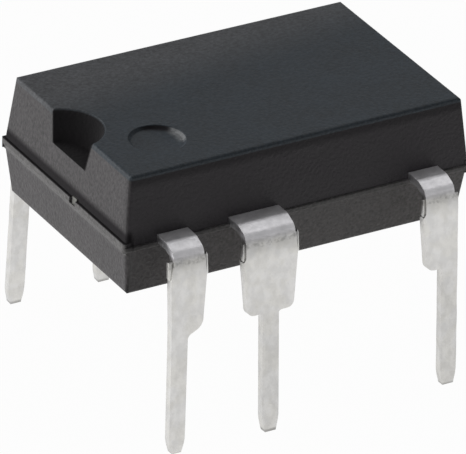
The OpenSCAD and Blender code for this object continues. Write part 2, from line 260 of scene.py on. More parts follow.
class Graph:
    """Adds nodes to the tree of a material or a world."""

    def __init__(self, owner):
        owner.use_nodes = True
        self.tree = owner.node_tree

    def node(self, kind, settings=None, values=()):
        """Adds a node: its settings first, then values or links by position or by name."""
        node = self.tree.nodes.new(kind)
        for key, value in (settings or {}).items():
            setattr(node, key, value)
        pairs = values.items() if isinstance(values, dict) else enumerate(values)
        for key, value in pairs:
            self.feed(node.inputs[key], value)
        return Outputs(self, node)

    def feed(self, target, value):
        if isinstance(value, Socket):
            self.tree.links.new(value.socket, target)
        else:
            target.default_value = value

    def blend(self, factor, first, second):
        """Mixes two colours by a factor."""
        return self.node("ShaderNodeMix", {"data_type": "RGBA"},
                         {"Factor": factor, "A": first, "B": second})["Result"]

    def scaled(self, colour, factor):
        return self.node("ShaderNodeVectorMath", {"operation": "SCALE"},
                         {"Vector": colour, "Scale": factor})[0]


class Finish(Graph):
    """A node material that starts from one Principled shader."""

    def __init__(self, name, **constants):
        self.material = bpy.data.materials.new(name)
        super().__init__(self.material)
        self.shader = self.tree.nodes["Principled BSDF"]
        for title, value in constants.items():
            self.surface(title.replace("_", " "), value)
        self.coordinates = self.node("ShaderNodeTexCoord")["Object"]
        parts = self.node("ShaderNodeSeparateXYZ", values=(self.coordinates,))
        self.x, self.y, self.z = (parts[axis] * (1.0 / MM) for axis in range(3))

    def surface(self, title, value):
        self.feed(self.shader.inputs[title], value)

    def lay_over(self, factor, other):
        """Shows another shader where the factor is 1."""
        mixed = self.node("ShaderNodeMixShader",
                          values=(factor, Socket(self, self.shader.outputs[0]), other[0]))
        self.feed(self.tree.nodes["Material Output"].inputs["Surface"], mixed[0])


def opaque(colour):
    """A colour with its alpha."""
    return tuple(colour) + (1.0,)


def noise(finish, size, detail=3.0, offset=0.0, stretch=1.0):
    """Noise between about 0 and 1 whose blotches are about size across and stretched upright."""
    place = finish.node("ShaderNodeMapping", values={"Vector": finish.coordinates,
                                                      "Location": (offset, offset, offset),
                                                      "Scale": (1.0, 1.0, 1.0 / stretch)})[0]
    return finish.node("ShaderNodeTexNoise",
                       values={"Vector": place, "Scale": 1.0 / size, "Detail": detail,
                               "Roughness": 0.5})[0]


def even(pattern):
    """The pattern of a noise, moved so that its middle is 0."""
    return pattern - 0.5


def bump(finish, height, distance, normal=None):
    values = {"Height": height, "Distance": distance, "Strength": 1.0}
    if normal is not None:
        values["Normal"] = normal
    return finish.node("ShaderNodeBump", values=values)["Normal"]


class MouldSettings(bpy.types.PropertyGroup):
    """Matt black moulding compound"""

    # Painted light and shade: the end faces, the upper and lower long sides and the top are one compound,
    # given lit and shaded copies of its colour
    colour: FloatVectorProperty(
        name="Colour", description="Colour of the end faces", subtype="COLOR", size=3, min=0.0, max=1.0,
        default=(0.094, 0.088, 0.091))
    side_colour: FloatVectorProperty(
        name="Side colour", description="Colour of the upper long sides", subtype="COLOR", size=3, min=0.0,
        max=1.0, default=(0.019, 0.015, 0.019))
    low_colour: FloatVectorProperty(
        name="Low side colour", description="Colour of the lower long sides", subtype="COLOR", size=3,
        min=0.0, max=1.0, default=(0.195, 0.186, 0.184))
    # Painted highlight along the ledge round the seam
    ledge_colour: FloatVectorProperty(
        name="Ledge colour", description="Colour of the worn ledge", subtype="COLOR", size=3, min=0.0,
        max=1.0, default=(0.2, 0.194, 0.192))
    # Painted shade: the colour of the dark diffuse shader laid over above the end ledge, in the mark and
    # along the long sides
    shade_colour: FloatVectorProperty(
        name="Crevice colour", description="Colour above the end ledge", subtype="COLOR", size=3, min=0.0,
        max=1.0, default=(0.044, 0.041, 0.044))
    # Painted light: the top's tone, with the bluish tint of a painted reflection
    top_colour: FloatVectorProperty(
        name="Top colour", description="Colour of the top face", subtype="COLOR", size=3, min=0.0, max=1.0,
        default=(0.04, 0.053, 0.067))
    # Painted highlight: the top paler towards the back
    back_colour: FloatVectorProperty(
        name="Back colour", description="Colour of the top towards the back", subtype="COLOR", size=3,
        min=0.0, max=1.0, default=(0.125, 0.13, 0.14))
    # Painted shade: the inside of the notch nearly black
    notch_colour: FloatVectorProperty(
        name="Notch colour", description="Colour inside the notch", subtype="COLOR", size=3, min=0.0,
        max=1.0, default=(0.004, 0.003, 0.004))
    # Painted highlight in the round mark
    pale_colour: FloatVectorProperty(
        name="Pale colour", description="Colour of the mark's worn end", subtype="COLOR", size=3, min=0.0,
        max=1.0, default=(0.26, 0.27, 0.28))
    grain: FloatProperty(
        name="Grain", description="Size of the grain in the surface", default=0.085 * MM, unit="LENGTH")
    cloud: FloatProperty(
        name="Clouds", description="Size of the clouds in the colour", default=1.2 * MM, unit="LENGTH")
    grain_depth: FloatProperty(
        name="Grain depth", description="Depth of the grain", default=0.02 * MM, unit="LENGTH")
    roughness: FloatProperty(
        name="Roughness", description="Roughness of the surface", default=0.5, min=0.0, max=1.0)
    shine: FloatProperty(
        name="Shine", description="Specular level of the surface", default=0.4, min=0.0, max=1.0)
    seam: FloatProperty(name="Seam", description="Height of the seam", default=5.335 * MM, unit="LENGTH")
    ledge: FloatProperty(
        name="Ledge", description="Height of the end ledge above the seam", default=0.16 * MM,
        unit="LENGTH")
    ledge_foot: FloatProperty(
        name="Ledge foot", description="Height over which the end face runs out", default=0.36 * MM,
        unit="LENGTH")
    crevice_core: FloatProperty(
        name="Crevice core", description="Part of that height that is darkest", default=0.4, min=0.0,
        max=1.0)
    run_out: FloatProperty(
        name="Run-out", description="How far the end face runs out at its foot", default=0.1 * MM,
        unit="LENGTH")
    draft: FloatProperty(
        name="Draft", description="Inward lean of the long sides with height", default=0.108)
    back_slant: FloatProperty(
        name="Back slant", description="Turn of the paler back of the top", default=0.15)
    notch_radius: FloatProperty(
        name="Notch radius", description="Radius of the notch at its floor", default=0.86 * MM,
        unit="LENGTH")
    notch_taper: FloatProperty(
        name="Notch taper", description="Growth of the notch's radius with height", default=0.247)
    notch_depth: FloatProperty(
        name="Notch depth", description="Depth of the notch", default=0.81 * MM, unit="LENGTH")
    notch_place: FloatProperty(
        name="Notch place", description="Distance of the notch from the middle", default=4.895 * MM,
        unit="LENGTH")
    mark_place: FloatVectorProperty(
        name="Mark place", description="Middle of the round mark", size=2,
        default=(-3.095 * MM, -1.455 * MM), unit="LENGTH")
    mark_radius: FloatProperty(
        name="Mark radius", description="Radius of the round mark", default=0.72 * MM, unit="LENGTH")
    mark_turn: FloatProperty(
        name="Mark turn", description="Turn of the mark's dark and pale sides",
        default=math.radians(31.044), subtype="ANGLE")
    mark_dish: FloatProperty(
        name="Mark dish", description="How far the mark's floor is dished", default=0.12 * MM,
        unit="LENGTH")


class TinSettings(bpy.types.PropertyGroup):
    """Tin on the leads"""

    colour: FloatVectorProperty(
        name="Colour", description="Colour of the tin", subtype="COLOR", size=3, min=0.0, max=1.0,
        default=(0.73, 0.73, 0.725))
    roughness: FloatProperty(
        name="Roughness", description="Roughness of the tin", default=0.42, min=0.0, max=1.0)
    crease: FloatProperty(
        name="Crease", description="Height of the rough crease under the bend", default=5.12 * MM,
        unit="LENGTH")
    cloud: FloatProperty(
        name="Clouds", description="Size of the warm and plain clouds", default=0.45 * MM, unit="LENGTH")
    patch: FloatProperty(
        name="Patches", description="Size of the darker patches", default=0.2 * MM, unit="LENGTH")
    pits: FloatProperty(name="Pits", description="Size of the fine pits", default=0.07 * MM, unit="LENGTH")
    relief: FloatProperty(
        name="Relief", description="Depth of the tin's unevenness", default=0.04 * MM, unit="LENGTH")


class LeadSettings(bpy.types.PropertyGroup):
    """Shape of the formed leads"""

    pitch: FloatProperty(
        name="Pitch", description="Distance between neighbouring leads", default=2.54 * MM, unit="LENGTH")
    thickness: FloatProperty(
        name="Thickness", description="Thickness of the lead frame", default=0.21 * MM, unit="LENGTH")
    root: FloatProperty(
        name="Root", description="Distance of the lead's root from the middle", default=2.585 * MM,
        unit="LENGTH")
    splay: FloatProperty(
        name="Splay", description="Outward lean of the legs", default=math.radians(3.8), subtype="ANGLE")
    flat_width: FloatProperty(
        name="Flat width", description="Width where a lead leaves the body", default=1.41 * MM,
        unit="LENGTH")
    corner_edge: FloatProperty(
        name="Corner edge", description="Outer edge of a corner lead's flat part", default=0.14 * MM,
        unit="LENGTH")
    shoulder_width: FloatProperty(
        name="Shoulder width", description="Width of the shoulder", default=1.52 * MM, unit="LENGTH")
    foot_width: FloatProperty(
        name="Foot width", description="Width of the shoulder at its foot", default=1.28 * MM,
        unit="LENGTH")
    foot_height: FloatProperty(
        name="Foot height", description="Height of the shoulder's foot", default=3.25 * MM, unit="LENGTH")
    foot_round: FloatProperty(
        name="Foot radius", description="Radius at the foot's outer corners", default=0.17 * MM,
        unit="LENGTH")
    leg_width: FloatProperty(
        name="Leg width", description="Width of the leg", default=0.46 * MM, unit="LENGTH")
    tip_width: FloatProperty(
        name="Tip width", description="Width of the tip", default=0.3 * MM, unit="LENGTH")
    tip_height: FloatProperty(
        name="Tip height", description="Height of the tip's taper", default=0.37 * MM, unit="LENGTH")
    stub_top: FloatProperty(
        name="Stub top", description="Height of the top of the dam bar stubs", default=5.205 * MM,
        unit="LENGTH")
    stub_height: FloatProperty(
        name="Stub height", description="Height of the dam bar stubs", default=0.48 * MM, unit="LENGTH")
    stub_out: FloatProperty(
        name="Stub reach", description="How far a stub stands out", default=0.075 * MM, unit="LENGTH")
    stub_back: FloatProperty(
        name="Stub setback", description="How far a stub lies behind the front", default=0.04 * MM,
        unit="LENGTH")
    rim_width: FloatProperty(
        name="Rim width", description="Width of a stub's outer rim", default=0.035 * MM, unit="LENGTH")
    groove_depth: FloatProperty(
        name="Groove depth", description="Depth of the groove inside the rim", default=0.058 * MM,
        unit="LENGTH")
    cut_width: FloatProperty(
        name="Cut width", description="Width of the shoulder beside a low stub", default=1.38 * MM,
        unit="LENGTH")
    front_round: FloatProperty(
        name="Front rounding", description="Rounding of the front edges", default=0.03 * MM, unit="LENGTH")
    back_round: FloatProperty(
        name="Back rounding", description="Rounding of the back edges", default=0.015 * MM, unit="LENGTH")
    wave: FloatProperty(
        name="Wave", description="Unevenness left by the forming", default=0.006 * MM, unit="LENGTH")


class StageSettings(bpy.types.PropertyGroup):
    """Floor, lights and camera"""

    azimuth: FloatProperty(
        name="Azimuth", description="Camera's turn from the long side", default=math.radians(31.044),
        subtype="ANGLE")
    elevation: FloatProperty(
        name="Elevation", description="Camera's height above the horizon", default=math.radians(28.770),
        subtype="ANGLE")
    roll: FloatProperty(
        name="Roll", description="Camera's roll", default=math.radians(2.279), subtype="ANGLE")
    distance: FloatProperty(
        name="Distance", description="Camera's distance", default=197.115 * MM, unit="LENGTH")
    focal_px: FloatProperty(name="Focal length", description="Focal length in image pixels", default=7907.8)
    aim_right: FloatProperty(
        name="Aim right", description="Shift of the aim to the right", default=0.128 * MM, unit="LENGTH")
    aim_up: FloatProperty(
        name="Aim up", description="Shift of the aim upwards", default=2.870 * MM, unit="LENGTH")
    floor_size: FloatProperty(
        name="Floor size", description="Width of the floor", default=3.0, unit="LENGTH")
    floor_grey: FloatProperty(
        name="Floor grey", description="How pale the floor is", default=0.8, min=0.0, max=1.0)
    floor_glow: FloatProperty(
        name="Floor glow", description="Share of plain white that the view gets", default=0.975, min=0.0,
        max=1.0)
    sky_gloss: FloatProperty(
        name="Sky gloss", description="How bright the surroundings look in the metal", default=0.4, min=0.0,
        max=1.0)


def box_of(node):
    """Lowest and highest corner of a CAD node, in mm."""
    return tuple(Vector(corner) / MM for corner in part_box(node))


class MouldFinish:
    """Matt black compound: grain, a dished mark, and painted light and shade: lit and shaded faces, a
    painted highlight on the ledge and in the mark, painted shade in the notch and in dark places.
    """

    def __init__(self):
        self.settings = bpy.context.scene.package_mould
        self.finish = Finish("matt_compound", Specular_IOR_Level=self.settings.shine)
        self.low, self.high = box_of("moulded_body")
        self.foot = self.mm("seam") + self.mm("ledge")
        self.grain = noise(self.finish, self.settings.grain, detail=2.0)
        self.cloud = noise(self.finish, self.settings.cloud, detail=4.0, offset=3.0)
        self.find_faces()
        self.inside = self.notch()
        self.find_mark()

    def mm(self, key):
        """A length of the settings, in mm."""
        return getattr(self.settings, key) / MM

    def rises(self, value, name, start=0.0):
        """Mask of one of the body's fades."""
        return value.between(BODY_FADES[name], start)

    def find_faces(self):
        """Masks of the top, the long sides, the lower half and the notched end."""
        x, y, z = self.finish.x, self.finish.y, self.finish.z
        low, high = self.low, self.high
        self.top = self.rises(z, "top", high.z)
        self.side = (self.rises(y.size() - x.size() + (high.x - high.y), "side")
                     * self.rises(z, "side_foot", low.z))
        self.lower = self.rises(z, "lower", self.mm("seam"))
        self.end = self.rises(x, "end", low.x)
        self.over_foot = self.rises(z, "ledge_top", self.foot)

    def notch(self):
        """Mask of the notch, whose wall widens upwards."""
        x, y, z = self.finish.x, self.finish.y, self.finish.z
        along = x + self.mm("notch_place")
        from_notch = (along * along + y * y).root()
        floor = self.high.z - self.mm("notch_depth")
        taper = (z - floor) * self.settings.notch_taper
        return (self.rises(from_notch - taper, "notch_wall", self.mm("notch_radius"))
                * self.rises(z, "notch_floor", floor)
                * self.rises(z, "notch_top", self.high.z))

    def find_mark(self):
        """Places in the round mark, turned and in parts of its radius, and its mask."""
        x, y = self.finish.x, self.finish.y
        mark_x, mark_y = (place / MM for place in self.settings.mark_place)
        radius, turn = self.mm("mark_radius"), self.settings.mark_turn
        self.across = ((x - mark_x) * math.cos(turn) - (y - mark_y) * math.sin(turn)) / radius
        self.away = ((x - mark_x) * math.sin(turn) + (y - mark_y) * math.cos(turn)) / radius
        self.from_mark = self.across * self.across + self.away * self.away
        self.in_mark = (self.from_mark.between(MARK_FADES["ring"])
                        * self.rises(self.finish.z, "mark_depth", self.high.z))

    def ledges(self):
        """Mask of the painted highlight on the ledges round the seam: the side ones as a band, and the rim
        of all four.
        """
        x, y, z = self.finish.x, self.finish.y, self.finish.z
        seam = self.mm("seam")
        band = self.side * self.rises(z, "band_foot", seam) * self.rises(z, "band_top", seam)
        rim = (x.size() - self.high.x).larger(y.size() - self.high.y)
        return self.rises(rim, "ledge_rim").larger(band)

    def colour(self):
        """Tints laid one over the other, with the grain and the clouds over them all. The tints are painted
        light and shade; the grain and the clouds are the compound's own.
        """
        blend = self.finish.blend
        x, y = self.finish.x, self.finish.y
        tint = {key: opaque(getattr(self.settings, key)) for key in self.settings.__annotations__
                if key.endswith("colour")}
        least = BODY_SHARES["lower_least"]
        along = self.rises(x, "lower_along") * (1.0 - least) + least
        # Painted highlight on the top towards the back
        back = self.rises(y - x * self.settings.back_slant, "back")
        # Painted highlight in the round mark
        pale = (self.from_mark.between(MARK_FADES["pale_ring"]) * self.away.between(MARK_FADES["pale_away"])
                * self.across.between(MARK_FADES["pale_across"]))
        # Painted shade on the upper long sides, and painted light from the floor on the lower ones, weaker
        # towards the notched end
        colour = blend(self.side, tint["colour"], tint["side_colour"])
        colour = blend(self.side * self.lower * along, colour, tint["low_colour"])
        colour = blend(self.top, colour, blend(back, tint["top_colour"], tint["back_colour"]))
        # Painted highlight on the ledges
        colour = blend(self.ledges() * BODY_SHARES["ledge"], colour, tint["ledge_colour"])
        # Painted shade in the notch
        colour = blend(self.inside, colour, tint["notch_colour"])
        # Painted highlight in the round mark
        colour = blend(self.in_mark * pale, colour, tint["pale_colour"])
        speckle = even(self.grain) * BODY_SHARES["grain"] + even(self.cloud) * BODY_SHARES["cloud"]
        return self.finish.scaled(colour, speckle + 1.0)

    def shadows(self):
        """Painted shade: above the end ledge, in the mark, and softly on the long side and its corner."""
        x, y, z = self.finish.x, self.finish.y, self.finish.z
        seam, run_out = self.mm("seam"), self.mm("ledge_foot")
        crevice = (self.end * z.between((run_out, self.settings.crevice_core * run_out), self.foot)
                   * self.over_foot)
        mark = (self.in_mark * self.away.between(MARK_FADES["dark_away"])
                * self.across.between(MARK_FADES["dark_left"])
                * self.across.between(MARK_FADES["dark_right"]))
        not_top = 1.0 - self.top
        under_edge = self.side * self.rises(z, "under_edge", self.high.z) * not_top
        over_ledge = (self.side * (1.0 - self.lower) * self.rises(x, "over_ledge_along")
                      * self.rises(z, "over_ledge", seam))
        to_corner = (z - seam) * self.settings.draft - y
        near_corner = ((1.0 - self.side) * self.rises(to_corner, "near_corner", self.high.y)
                       * self.over_foot * not_top)
        soft = under_edge.larger(over_ledge).larger(near_corner)
        return (crevice.larger(mark) * BODY_SHARES["shade"]).larger(soft * BODY_SHARES["soft_shade"])

    def normal(self):
        """Run-out above the end ledge, dish of the mark and grain."""
        fall = 1.0 - ((self.finish.z - self.foot) / self.mm("ledge_foot")).clamped()
        dish = (1.0 - self.from_mark).clamped() * self.rises(self.finish.z, "dish_depth", self.high.z)
        shaped = bump(self.finish, fall * fall * self.end, self.settings.run_out)
        shaped = bump(self.finish, 1.0 - dish, self.settings.mark_dish, normal=shaped)
        return bump(self.finish, self.grain, self.settings.grain_depth, normal=shaped)

    def made(self):
        """Joins colour, roughness, relief and the painted shade in the material."""
        finish = self.finish
        finish.surface("Base Color", self.colour())
        finish.surface("Roughness", self.settings.roughness + even(self.cloud) * BODY_SHARES["rough_cloud"]
                       + self.inside * BODY_SHARES["rough_notch"])
        finish.surface("Normal", self.normal())
        # Painted shade: a dark diffuse shader laid over the places that shadows() gives
        shade = finish.node("ShaderNodeBsdfDiffuse", values=(opaque(self.settings.shade_colour),))
        finish.lay_over(self.shadows(), shade)
        return finish.material


def tin_finish():
    """Tin left by the dip: satin, blotched warm and cool, finely pitted; painted shade at the crease and
    below it, and a painted highlight on the bend.
    """
    settings = bpy.context.scene.package_tin
    finish = Finish("tin_dip", Metallic=1.0)
    cloud = noise(finish, settings.cloud, detail=4.0)
    patch = noise(finish, settings.patch, offset=2.0, stretch=1.5)
    pits = noise(finish, settings.pits, offset=1.0)
    height = settings.crease / MM
    share = TIN_SHARES

    def above(name, level=finish.z):
        return level.between(CREASE_FADES[name], height)

    ragged = finish.z + even(patch) * share["ragged"]
    # Painted shade at the crease, broken up by the pits, and below it; a painted highlight on the bend
    crease = above("crease_foot", ragged) * above("crease_top", ragged)
    rubbed = above("rubbed_foot") * above("rubbed_top")
    worn = above("worn_foot") * above("worn_top")
    leg = finish.z.between(LEG_FADES["leg"]) * finish.x.between(LEG_FADES["leg_along"])
    tip = finish.z.between(LEG_FADES["tip"]) * (patch * share["tip_patch"] + share["tip"])

    tone = {name: opaque(part * share for part, share in zip(settings.colour, shares))
            for name, shares in TIN_TONES.items()}
    colour = finish.blend(cloud.between(TIN_BLOTCHES["warm"]), tone["plain"], tone["warm"])
    colour = finish.blend(above("bend"), colour, tone["cool"])
    bright = (1.0 - pits.between(TIN_BLOTCHES["pits"]) * share["pits"]
              - patch.between(TIN_BLOTCHES["patch"]) * share["patch"]
              - crease * pits.between(TIN_BLOTCHES["crease_pits"]) * share["crease"]
              - rubbed * share["rubbed"] + worn * share["worn"] - leg * share["leg"] - tip)
    finish.surface("Base Color", finish.scaled(colour, bright))
    finish.surface("Roughness", settings.roughness + even(cloud) * share["rough_cloud"]
                   + even(pits) * share["rough_pits"] + above("flat") * share["rough_flat"])
    relief = cloud * share["bump_cloud"] + patch * share["bump_fine"] + pits * share["bump_fine"]
    finish.surface("Normal", bump(finish, relief, settings.relief))
    return finish.material


def plain_finish(name, colour, metallic, roughness):
    """One colour with faint paler and rougher clouds."""
    cloud_size, paler, rougher = 0.2 * MM, 1.1, 0.1
    finish = Finish(name, Metallic=metallic)
    cloud = noise(finish, cloud_size)
    pale = opaque(min(1.0, paler * c) for c in colour)
    finish.surface("Base Color", finish.blend(cloud, opaque(colour), pale))
    finish.surface("Roughness", roughness + even(cloud) * rougher)
    return finish.material


def frame_finish():
    """Copper frame whose cut ends, in the body's end faces, are dull grey."""
    cloud_size, relief, cut_fade = 0.15 * MM, 0.03 * MM, (-0.15, -0.1)
    dark, pale, dull = (0.7, 0.42, 0.29), (0.78, 0.47, 0.33), (0.24, 0.24, 0.225)
    roughness, rougher = 0.4, 0.2
    finish = Finish("frame_copper", Metallic=1.0)
    _, high = box_of("die_paddle")
    cloud = noise(finish, cloud_size)
    cut = finish.x.size().between(cut_fade, high.x)
    copper = finish.blend(cloud, opaque(dark), opaque(pale))
    finish.surface("Base Color", finish.blend(cut, copper, opaque(dull)))
    finish.surface("Roughness", roughness + cut * rougher)
    finish.surface("Normal", bump(finish, cloud, relief))
    return finish.material


def give(node, material):
    """Puts one material on a CAD node."""
    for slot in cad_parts[node].material_slots:
        slot.material = material


def finished(mesh, name, material):
    """Turns a bmesh into a piece that rides with the package."""
    for face in mesh.faces:
        face.smooth = True
    for edge in mesh.edges:
        edge.smooth = len(edge.link_faces) == 2 and edge.calc_face_angle() < SMOOTH_ANGLE
    data = bpy.data.meshes.new(name)
    mesh.to_mesh(data)
    mesh.free()
    piece = bpy.data.objects.new(name, data)
    bpy.context.scene.collection.objects.link(piece)
    data.materials.append(material)
    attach(piece, "root")
    return piece


def walk(stretches, far):
    """Follows straight and turning stretches: way out, height and slope after a length."""
    out, height, slope = 0.0, 0.0, 0.0
    for length, turn in stretches:
        part = min(far, length)
        if turn == 0.0:
            out += part * math.cos(slope)
            height -= part * math.sin(slope)
        else:
            radius = length / turn
            after = slope + part / radius
            out += radius * (math.sin(after) - math.sin(slope))
            height -= radius * (math.cos(slope) - math.cos(after))
            slope = after
        far -= part
        if far <= 0.0:
            break
    return out, height, slope


class LeadForm:
    """A lead as a flat blank, in mm, that is wrapped over the bend."""

    # Grid of the blank, and steps of its curves
    GRID = 0.16
    ARC_STEPS = 4
    CORNER_STEPS = 5
    FRONT_STEPS = 3
    BACK_STEPS = 2
    # How near a cut may pass a point, and what counts as an edge of the rim
    CUT_DISTANCE = 0.0005
    RIM_DISTANCE = 1e-5
    RIM_ANGLE = 1.0

    # Radius and turn in degrees of each bend below the flat part, or length and 0 where straight;
    # what is left of the turn has a radius of its own
    BENDS = ((0.22, 22.0), (0.24, 0.0), (0.24, 50.0))
    LAST_RADIUS = 1.6

    # Radii where the leg meets the tip and the shoulder
    TIP_ROUND = 0.12
    LEG_ROUND = 0.08
    # How the shoulder runs in beside a low stub
    CUT_RUN = 0.08
    CUT_TAPER = 0.01

    # Inside the body: straight part, neck and finger of a middle lead, and of a corner lead
    ROOT_RUN = 0.2
    FINGER_START = 0.4
    FINGER_HALF = 0.48
    CORNER_EDGES = (-0.61, -1.76)
    CORNER_STARTS = (0.95, 1.255)

    # Stubs of the dam bars
    BLOCK_ROUND = 0.02
    BLOCK_STEPS = 2
    LEG_STUB = (-0.13, 0.035)
    BURR_INSET = 0.02
    BURR_RISE = 0.08
    BURR_SLANT = 0.1
    CUT_INSET = 0.015
    STUB_DROP = 0.04
    WEB_WIDTH = 0.1
    WEB_INSET = 0.005

    # Waves per mm, how far they differ between the rows, and where they fade out at both ends
    WAVES = 2.2
    ROW_SHIFT = 3.0
    CALM_ROOT = 0.7
    CALM_RUN = 0.3

    def __init__(self, settings, name):
        for key in settings.__annotations__:
            scale = 1.0 if key == "splay" else MM
            setattr(self, key, getattr(settings, key) / scale)
        self.side_x, self.side_y, self.lean, self.narrow, self.shorter, self.slant = LEADS[name]
        self.corner = name in CORNER_LEADS
        self.burr_side = -self.side_x * self.side_y
        self.tip = self.shorter + self.thickness * math.sin(self.splay)
        self.middle = (1.5 if self.corner else 0.5) * self.pitch
        low, high = box_of(name)
        self.top = high.z
        self.reach = max(abs(low.y), abs(high.y))
        self.inner = min(abs(low.y), abs(high.y))
        self.make_path()

    def make_path(self):
        """Outer face from the root over a creased bend down to the tip."""
        left = 90.0 - math.degrees(self.splay) - sum(turn for _, turn in self.BENDS)
        path = [(radius * math.radians(turn), math.radians(turn)) if turn else (radius, 0.0)
                for radius, turn in (*self.BENDS, (self.LAST_RADIUS, left))]
        out, drop, _ = walk(path, sum(length for length, _ in path))
        leg = (self.top + drop) / math.cos(self.splay)
        flat = self.reach - self.root - out - leg * math.sin(self.splay)
        self.path = [(flat, 0.0)] + path + [(leg, 0.0)]
        self.bend_end = flat + sum(length for length, _ in path)
        self.bend_height = self.top + drop

    def down(self, height):
        """Length along the strip at a height on the leg."""
        return self.bend_end + (self.bend_height - height) / math.cos(self.splay)

    def tip_edge(self):
        """Points (out, along, radius) from the tip up to the leg."""
        return [(self.tip_width / 2 - self.narrow / 2, self.down(self.tip), 0.0),
                (self.leg_width / 2 - self.narrow / 4, self.down(self.tip_height), self.TIP_ROUND)]

    def shoulder_edge(self, side):
        """Points from the tip up to the root, past the shoulder."""
        low = self.down(self.stub_top - self.stub_height)
        if side == self.burr_side:
            notched, top = [], self.flat_width / 2
        else:
            notched = [(self.cut_width / 2, low - self.CUT_RUN, 0.0)]
            top = self.cut_width / 2 - self.CUT_TAPER
        return [*self.tip_edge(),
                (self.leg_width / 2, self.down(self.foot_height - self.slant / 2), self.LEG_ROUND),
                (self.foot_width / 2, self.down(self.foot_height + self.slant / 2), self.foot_round),
                (self.shoulder_width / 2, low, 0.0), *notched,
                (top, self.down(self.stub_top), 0.0)]

    def straight_edge(self):
        """Points from the tip up to the root, on the side of a corner lead that has no shoulder."""
        return [*self.tip_edge(),
                (self.leg_width / 2, self.down(self.stub_top - self.stub_height), 0.0),
                (self.corner_edge, self.down(self.stub_top), 0.0)]

    def inner_edges(self):
        """Inner end of the lead, from its outer edge round to its inner edge."""
        half, finger = self.flat_width / 2, self.FINGER_HALF
        tip = self.inner - self.root
        if not self.corner:
            return [(half, 0.0), (half, -self.ROOT_RUN), (finger, -self.FINGER_START), (finger, tip),
                    (-finger, tip), (-finger, -self.FINGER_START), (-half, -self.ROOT_RUN), (-half, 0.0)]
        (outer, inner), (outer_start, inner_start) = self.CORNER_EDGES, self.CORNER_STARTS
        return [(self.corner_edge, 0.0), (self.corner_edge, -self.ROOT_RUN), (outer, -outer_start),
                (outer, tip), (inner, tip), (inner, -inner_start), (-half, -self.ROOT_RUN), (-half, 0.0)]

    def blank(self):
        """Flat face with rounded corners, cut into a grid."""
        right = self.straight_edge() if self.corner else self.shoulder_edge(1)
        left = [(-out, far, radius) for out, far, radius in reversed(self.shoulder_edge(-1))]
        inner = [(out, far, 0.0) for out, far in self.inner_edges()]
        outline = right + inner + left
        mesh = bmesh.new()
        corners = [mesh.verts.new((out, far, 0.0)) for out, far, _ in outline]
        mesh.faces.new(corners)
        for corner, (_, _, radius) in zip(corners, outline):
            if radius > 0.0:
                bmesh.ops.bevel(mesh, geom=[corner], offset=radius, offset_type="OFFSET",
                                affect="VERTICES", segments=self.CORNER_STEPS, profile=0.5,
                                material=-1)
        for station in self.stations():
            self.cut(mesh, (0.0, station, 0.0), (0.0, 1.0, 0.0))
        steps = int(self.shoulder_width / 2 / self.GRID)
        for step in range(-steps, steps + 1):
            self.cut(mesh, ((step + 0.5) * self.GRID, 0.0, 0.0), (1.0, 0.0, 0.0))
        return mesh

    def stations(self):
        """Lengths at which the blank is cut, close together in the bend."""
        places, start = [], 0.0
        for length, turn in self.path:
            if turn:
                steps = self.ARC_STEPS
            else:
                steps = max(1, round(length / self.GRID))
            places += [start + length * step / steps for step in range(steps)]
            start += length
        return places

    def cut(self, mesh, place, normal):
        bmesh.ops.bisect_plane(mesh, geom=mesh.verts[:] + mesh.edges[:] + mesh.faces[:],
                               dist=self.CUT_DISTANCE, plane_co=place, plane_no=normal)

    def thicken(self, mesh):
        """Gives the blank its thickness and rounds its rims."""
        made = bmesh.ops.extrude_face_region(mesh, geom=mesh.faces[:])["geom"]
        bmesh.ops.translate(mesh, vec=(0.0, 0.0, -self.thickness),
                            verts=[item for item in made if isinstance(item, bmesh.types.BMVert)])
        bmesh.ops.recalc_face_normals(mesh, faces=mesh.faces)
        rims = ((0.0, self.front_round, self.FRONT_STEPS),
                (-self.thickness, self.back_round, self.BACK_STEPS))
        for height, size, segments in rims:
            rim = [edge for edge in mesh.edges
                   if all(abs(vert.co.z - height) < self.RIM_DISTANCE for vert in edge.verts)
                   and edge.calc_face_angle(0.0) > self.RIM_ANGLE]
            bmesh.ops.bevel(mesh, geom=rim, offset=size, offset_type="OFFSET", affect="EDGES",
                            segments=segments, profile=0.5, clamp_overlap=True, material=-1)

    def add_block(self, mesh, side, widths, heights, front, slant=0.0):
        """Block beside the shoulder; its top may slant down outwards."""
        near, far = widths
        low, high = (self.down(height) for height in heights)
        middle_out, middle = (near + far) / 2, (low + high) / 2
        back = self.thickness - self.back_round
        made = bmesh.ops.create_cube(mesh, size=1.0)["verts"]
        bmesh.ops.scale(mesh, vec=(far - near, low - high, back - front), verts=made)
        bmesh.ops.translate(mesh, vec=(side * middle_out, middle, -(front + back) / 2), verts=made)
        outer_top = [vert for vert in made if vert.co.y < middle and abs(vert.co.x) > middle_out]
        bmesh.ops.translate(mesh, vec=(0.0, slant, 0.0), verts=outer_top)
        edges = list(dict.fromkeys(edge for vert in made for edge in vert.link_edges))
        radius = min(self.BLOCK_ROUND, (far - near) / 4)
        bmesh.ops.bevel(mesh, geom=edges, offset=radius, offset_type="OFFSET",
                        affect="EDGES", segments=self.BLOCK_STEPS, profile=0.5, material=-1)

